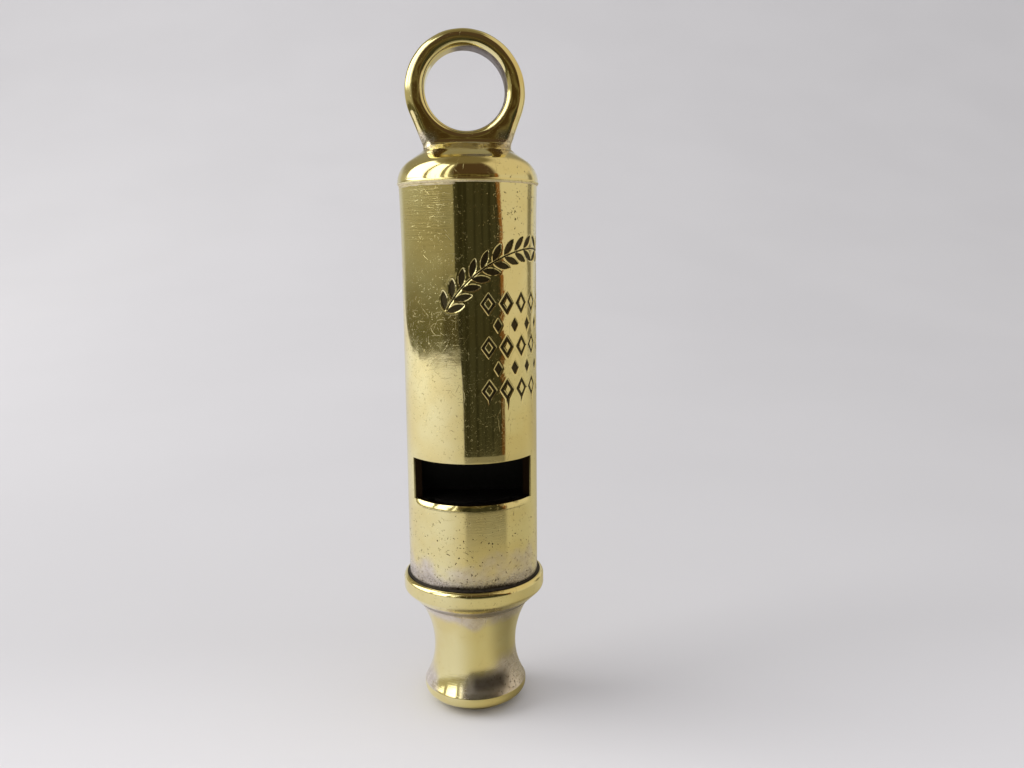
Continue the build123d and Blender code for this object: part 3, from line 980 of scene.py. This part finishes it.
def makeSolder():
    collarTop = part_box("mouthpiece")[1].z / mm
    capLow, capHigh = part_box("cap_solder_ring")
    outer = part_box("barrel")[1].x / mm - barrelSizes["flare"]
    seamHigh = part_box("mouthpiece_solder_ring")[1]
    reach = seamHigh.x / mm - outer
    seam = unevenRing("collarSolder", [
        (outer - 0.05, collarTop - 0.02),
        (outer + reach * 0.75, collarTop),
        (outer + reach * 0.25, collarTop + 0.10),
        (outer + 0.015, collarTop + 0.24),
        (outer - 0.05, collarTop + 0.24),
    ], 0.5, 1.7)
    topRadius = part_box("barrel")[1].x / mm
    bead = unevenRing("capSolder", [
        (topRadius - 0.06, capLow.z / mm),
        (topRadius + 0.05, capLow.z / mm + 0.03),
        (capHigh.x / mm, capHigh.z / mm),
        (topRadius - 0.06, capHigh.z / mm),
    ], 0.6, 0.4)
    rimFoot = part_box("barrel")[1].z / mm
    run = lathe("capSolderRun", [
        (topRadius - 0.10, rimFoot - 0.46),
        (topRadius - 0.03, rimFoot - 0.42),
        (topRadius, rimFoot - 0.33),
        (topRadius - 0.01, rimFoot - 0.22),
        (topRadius - 0.10, rimFoot - 0.18),
    ], solderSizes["columns"], runShape)
    seat, ground = capSizes["seat"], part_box("end_cap")[1].z / mm
    spread = solderSizes["footSpread"]
    underside = ground - spread * math.tan(math.radians(capSizes["topSlope"])) - 0.01
    foot = unevenRing("loopSolder", [
        (seat - 0.40, underside),
        (seat + spread, underside),
        (seat + 0.40, ground - 0.18),
        (seat + 0.12, ground + 0.06),
        (seat - 0.06, ground + 0.22),
        (seat - 0.20, ground + 0.36),
        (seat - 0.40, ground + 0.42),
    ], 0.14, 2.3)
    return seam, bead, run, foot


# the object

brassPieces = {
    "mouthpiece": (makeMouthpiece, mouthpieceWear, True),
    "barrel": (makeBarrel, barrelWear, True),
    "end_cap": (makeCap, capWear, True),
    "suspension_loop": (makeLoop, loopWear, False),
}
for node, (make, wear, turnedPart) in brassPieces.items():
    piece = make()
    piece.data.materials.append(brassFinish("brass-" + node, wear, turnedPart))
    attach(piece, "root")
    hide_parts(node)
    print("made", node, len(piece.data.polygons), "faces")

seam, bead, run, foot = makeSolder()
darkSolder = solderFinish("solder-dark", rgb(0.010, 0.008, 0.006), rgb(0.055, 0.045, 0.035), 0.5)
brightSolder = solderFinish("solder-bright", rgb(0.86, 0.76, 0.52), rgb(0.62, 0.52, 0.32), 0.25)
footSolder = brassFinish("solder-loop", loopSolderWear)
seams = (
    (seam, "mouthpiece_solder_ring", darkSolder),
    (bead, "cap_solder_ring", brightSolder),
    (run, None, brightSolder),
    (foot, "loop_solder_fillet", footSolder),
)
for piece, node, finish in seams:
    piece.data.materials.append(finish)
    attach(piece, "root")
    if node:
        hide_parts(node)
print("made solder")

insideDark = darkFinish("brass-blackened", rgb(0.004, 0.0035, 0.003), 0.45)
innerSolder = solderFinish("solder-inside", rgb(0.02, 0.02, 0.02), rgb(0.12, 0.11, 0.10))
insideNodes = (
    (insideDark, ("windway_plug", "chamber_divider", "front_chamber_stop", "rear_chamber_stop")),
    (innerSolder, ("plug_solder_fillets", "divider_solder_fillets", "stop_solder_fillets")),
)
for finish, nodes in insideNodes:
    for node in nodes:
        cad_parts[node].data.materials.clear()
        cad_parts[node].data.materials.append(finish)
print("inside finished")


# paper, mirrored card, room, lamps and camera

stageLook = {
    "paper": rgb(0.615, 0.608, 0.618),
    # paper with painted light, near the front
    "paperLitNear": rgb(0.72, 0.712, 0.725),
    "nearSpan": (22.0, -24.0),       # mm behind the whistle, where painted light makes the paper lighter
    "backAt": 0.12,          # where the paper starts to curve up, metres behind the whistle
    "bend": 0.9,
    "mirrorReach": 0.365,    # how far the paper that the metal mirrors runs
    "cardRadius": 0.114,
    "cardFoot": 0.0065,
    "cardTop": 0.112,
    "cardLeft": (-12.8, -23.0),     # degrees from straight in front, at its foot and at its top
    "cardRight": (57.5, 49.0),
    "warmEdge": 6.0,
    "cardLow": rgb(0.050, 0.047, 0.026),
    "cardStreak": rgb(0.024, 0.022, 0.010),
    "cardHigh": rgb(0.165, 0.135, 0.062),
    "cardBrown": rgb(0.055, 0.032, 0.010),
    "cardWarm": rgb(0.24, 0.10, 0.03),
    "mirrorWarm": rgb(1.0, 0.93, 0.66),
}


def paperHeight(y):
    # height of the paper sweep, both in metres
    s = stageLook
    along = min(max(y - s["backAt"], 0), s["bend"])
    return s["bend"] - math.sqrt(s["bend"] ** 2 - along ** 2)


def plainPaper(name):
    material, t = newMaterial(name)
    place = t.place()
    drift = t.noise(place, 0.01, 2.0)
    y = t.split(place)[1]
    tone = stageLook["paper"]
    paper = t.mix(t.ramp(drift, 0.3, 0.7), tone, rgb(*[c * 0.975 for c in tone[:3]]))
    # painted light: the paper grows lighter towards the front
    paper = t.mix(t.ramp(y, *stageLook["nearSpan"]), paper, stageLook["paperLitNear"])
    finishMaterial(t, {
        "Base Color": paper,
        "Roughness": 0.9,
        "Specular IOR Level": 0.2,
    })
    return material


def mirroredPaper(name):
    # the same paper as polished metal sees it, with painted shade in front of the whistle and to its
    # right, a painted shadow further out in front, painted light on the left and far to the right, and a
    # warmer tone to the right
    material, t = newMaterial(name)
    x, y = t.split(t.place())[:2]
    turn = t.turnOf(x, y)
    reach = (x * x + y * y) ** 0.5
    # painted light on the left, painted shade in front, to the right and behind
    shade = t.ramp(turn, -60.0, 10.0, 1.12, 0.84) * t.ramp(turn, 20.0, 90.0, 1.0, 0.98)
    # painted shadow of the whistle close to its right
    nearRightShadow = t.band(turn, 45.0, 150.0, 20.0) * t.ramp(reach, 20.0, 42.0, 0.26, 0.0)
    # painted light far to the right
    farRightLight = t.band(turn, 50.0, 120.0, 12.0) * t.ramp(reach, 80.0, 220.0) * 0.2
    shade = shade * (1 - nearRightShadow) * (1 + farRightLight)
    shade = shade * t.ramp(abs(turn), 125.0, 160.0, 1.0, 0.86)
    # painted shadow on the paper further out in front of the whistle
    underCardShadow = t.band(turn, -13.0, 58.0, 3.0) * t.ramp(reach, 52.0, 92.0)
    shade = shade * (1 - underCardShadow * 0.55)
    warmth = t.mix(t.ramp(turn, -50.0, 10.0), rgb(1, 1, 1), stageLook["mirrorWarm"])
    paper = t.vector("MULTIPLY", warmth, stageLook["paper"][:3])
    paper = t.vector("MULTIPLY", paper, t.join(shade, shade, shade))
    finishMaterial(t, {"Base Color": paper, "Roughness": 0.9, "Specular IOR Level": 0.0})
    return material


def makeSweep():
    half, front, top = 2.2, -1.6, 1.8      # metres
    s = stageLook
    rows = [front, s["backAt"]]
    rows += [s["backAt"] + s["bend"] * math.sin(a) for a in np.linspace(0.02, 1.5, 40)]
    path = [(y / mm, paperHeight(y) / mm) for y in rows]
    path += [((s["backAt"] + s["bend"]) / mm, top / mm)]
    points, faces = [], []
    for y, z in path:
        points += [(-half / mm, y, z), (half / mm, y, z)]
    for i in range(len(path) - 1):
        faces.append((2 * i, 2 * i + 1, 2 * i + 3, 2 * i + 2))
    sweep = meshPiece("paperSweep", points, faces, 60)
    sweep.visible_glossy = False
    sweep.data.materials.append(plainPaper("paper"))


def makeMirrorPaper():
    # a second skin on the sweep that only mirror rays meet
    s = stageLook
    lift, rearLift, spokes, rings = 0.00002, 0.003, 96, 14
    points, faces = [(0, 0, lift / mm)], []
    for i in range(1, rings + 1):
        for j in range(spokes):
            a = 2 * math.pi * j / spokes
            x, y = math.cos(a), math.sin(a)
            reach = s["mirrorReach"] * (1 + 0.6 * max(0, y) ** 12) * i / rings
            clear = rearLift if reach * y > s["backAt"] / 2 else lift
            height = paperHeight(reach * y) + clear
            points.append((reach * x / mm, reach * y / mm, height / mm))
    for j in range(spokes):
        k = (j + 1) % spokes
        faces.append((0, 1 + j, 1 + k))
        for i in range(rings - 1):
            near, far = 1 + i * spokes, 1 + (i + 1) * spokes
            faces.append((near + j, far + j, far + k, near + k))
    skin = meshPiece("mirrorPaper", points, faces, 60)
    skin.data.materials.append(mirroredPaper("paper-mirrored"))
    hideFromAllButMirrors(skin)


def hideFromAllButMirrors(piece):
    piece.visible_camera = False
    piece.visible_diffuse = False
    piece.visible_shadow = False


def cardFinish(name):
    material, t = newMaterial(name)
    s = stageLook
    x, y, z = t.split(t.place())
    turn = t.turnOf(x, y)
    streaks = t.noise(t.join(turn * 0.16, z * 0.006, 0.0), 1.0, 2.0)
    patches = t.noise(t.join(turn * 0.10, z * 0.07, 4.0), 1.0, 1.0)
    tone = t.mix(t.ramp(streaks, 0.44, 0.60) * 0.8, s["cardLow"], s["cardStreak"])
    upper = t.mix(t.ramp(patches, 0.48, 0.60), s["cardHigh"], s["cardBrown"])
    tone = t.mix(t.ramp(z, 78.0, 86.0), tone, upper)
    tone = t.mix(t.ramp(z, 98.0, 107.0) * 0.8, tone, s["cardBrown"])
    warm = t.ramp(z, 30.0, 55.0, 0.5, 1.0)
    edgeAt = t.ramp(z, 58.0, 70.0, *s["cardRight"]) - s["warmEdge"]
    tone = t.mix(t.ramp(turn - edgeAt, -0.8, 1.4) * warm, tone, s["cardWarm"])
    finishMaterial(t, {
        "Base Color": rgb(0, 0, 0),
        "Roughness": 1.0,
        "Specular IOR Level": 0.0,
        "Emission Color": tone,
        "Emission Strength": 1.0,
    })
    return material


def makeCard():
    # dark card in front, which polished metal mirrors as the band down its middle
    s = stageLook
    rows, columns = 24, 40
    points, faces = [], []
    for i in range(rows + 1):
        z = s["cardFoot"] + (s["cardTop"] - s["cardFoot"]) * i / rows
        left = np.interp(z, (0.022, 0.050), s["cardLeft"])
        right = np.interp(z, (0.058, 0.070), s["cardRight"])
        for j in range(columns + 1):
            a = math.radians(left + (right - left) * j / columns)
            x, y = s["cardRadius"] * math.sin(a), -s["cardRadius"] * math.cos(a)
            points.append((x / mm, y / mm, z / mm))
    for i in range(rows):
        for j in range(columns):
            k = i * (columns + 1) + j
            faces.append((k, k + 1, k + columns + 2, k + columns + 1))
    card = meshPiece("darkCard", points, faces, 60)
    card.data.materials.append(cardFinish("card"))
    hideFromAllButMirrors(card)


roomLook = {
    "plain": rgb(0.84, 0.83, 0.84),      # what lights the paper
    "seen": rgb(0.41, 0.40, 0.415),      # what shows past the paper's edges
    "leftLow": rgb(0.12, 0.112, 0.06),
    "leftHigh": rgb(0.47, 0.435, 0.31),
    "front": rgb(0.05, 0.046, 0.026),
    "right": rgb(0.66, 0.59, 0.45),
    "rightDim": rgb(0.22, 0.195, 0.14),
    "behind": rgb(0.60, 0.59, 0.58),
    "frontHigh": rgb(0.08, 0.05, 0.028),
    "leftUp": rgb(0.30, 0.27, 0.18),
    "rightUp": rgb(0.66, 0.56, 0.38),
    "ceiling": rgb(0.19, 0.155, 0.085),
    "figure": rgb(0.05, 0.042, 0.02),
    "window": rgb(2.9, 2.85, 2.6),
    "panes": (                           # degrees from and to, softness, strength
        (-118.0, -78.0, 2.0, 1.0),
        (-70.0, -46.0, 2.0, 1.0),
        (-38.0, -32.0, 1.5, 0.5),
    ),
    "paneLift": (11.0, 60.0, 3.0),       # degrees up
    "upperFrom": (12.0, 24.0),
    "ceilingFrom": (62.0, 74.0),
}


def makeWorld():
    world = bpy.data.worlds.new("room")
    bpy.context.scene.world = world
    world.cycles.sampling_method = "NONE"
    t = Tree(world)
    look = roomLook
    x, y, z = t.split(t.node("ShaderNodeTexCoord", out=0))
    turn = t.turnOf(x, y)
    lift = z.calc("ARCSINE") * (180 / math.pi)
    room = t.mix(t.ramp(lift, -6.0, 3.0), look["leftLow"], look["leftHigh"])
    figure = t.band(turn, -46.0, -18.0, 4.0) * t.ramp(lift, -1.5, -3.0)
    room = t.mix(figure * 0.7, room, look["figure"])
    room = t.mix(t.ramp(turn, -75.0, -22.0) * t.ramp(lift, -3.0, 3.0) * 0.45, room, look["leftLow"])
    room = t.mix(t.ramp(turn, -24.0, -18.0), room, look["front"])
    room = t.mix(t.ramp(turn, 50.0, 54.0), room, look["right"])
    room = t.mix(t.band(turn, 117.0, 131.0, 4.0), room, look["rightDim"])
    room = t.mix(t.ramp(abs(turn), 134.0, 150.0), room, look["behind"])
    upper = t.mix(t.ramp(turn, -34.0, -22.0), look["leftUp"], look["frontHigh"])
    upper = t.mix(t.ramp(turn, 42.0, 54.0), upper, look["rightUp"])
    upper = t.mix(t.ramp(abs(turn), 140.0, 165.0), upper, look["leftUp"])
    room = t.mix(t.ramp(lift, *look["upperFrom"]), room, upper)
    panes = 0.0
    for start, end, soft, strength in look["panes"]:
        panes = t.band(turn, start, end, soft) * strength + panes
    room = t.mix(t.clamp(panes * t.band(lift, *look["paneLift"])), room, look["window"])
    room = t.mix(t.ramp(lift, *look["ceilingFrom"]), room, look["ceiling"])
    diffuseRay = t.node("ShaderNodeLightPath", out=2)
    cameraRay = t.node("ShaderNodeLightPath")
    shade = t.mix(cameraRay, t.mix(diffuseRay, room, look["plain"]), look["seen"])
    background = t.node("ShaderNodeBackground", None, [shade])
    t.node("ShaderNodeOutputWorld", None, [background])


lightLook = {
    "window": {"at": (-0.52, -0.02, 0.40), "aim": (0, 0, 0.03), "width": 0.42, "power": 2.25},
    "backdrop": {"at": (-0.55, 0.30, 0.85), "aim": (-0.1, 0.85, 0.40), "width": 0.4, "power": 1.4},
}
lampTint = (1.0, 0.99, 0.985)


def makeLights():
    for name, s in lightLook.items():
        data = bpy.data.lights.new(name, "AREA")
        data.shape = "SQUARE"
        data.size = s["width"]
        data.energy = s["power"]
        data.color = lampTint
        lamp = bpy.data.objects.new(name, data)
        lamp.location = s["at"]
        along = Vector(s["aim"]) - Vector(s["at"])
        lamp.rotation_euler = along.to_track_quat("-Z", "Y").to_euler()
        lamp.visible_glossy = False      # the room's own window is what the metal mirrors
        bpy.context.scene.collection.objects.link(lamp)


cameraLook = {
    "at": (0.0, -0.1043, 0.0574),
    "pitchDown": 8.94,
    "yawRight": 2.79,
    "roll": -0.48,
    "lens": 29.88,
}


def makeCamera():
    s = cameraLook
    down, yaw, roll = (math.radians(s[key]) for key in ("pitchDown", "yawRight", "roll"))
    level = math.cos(down)
    ahead = Vector((math.sin(yaw) * level, math.cos(yaw) * level, -math.sin(down)))
    across = Vector((math.cos(yaw), -math.sin(yaw), 0))
    up = across.cross(ahead)
    right = math.cos(roll) * across + math.sin(roll) * up
    top = -math.sin(roll) * across + math.cos(roll) * up
    data = bpy.data.cameras.new("viewer")
    data.lens = s["lens"]
    data.clip_start = 0.001
    camera = bpy.data.objects.new("viewer", data)
    turn = Matrix((right, top, -ahead)).transposed()
    camera.matrix_world = Matrix.Translation(s["at"]) @ turn.to_4x4()
    bpy.context.scene.collection.objects.link(camera)
    bpy.context.scene.camera = camera


makeSweep()
makeMirrorPaper()
makeCard()
makeWorld()
makeLights()
makeCamera()
bpy.context.scene.view_settings.view_transform = "Standard"
print("stage set")
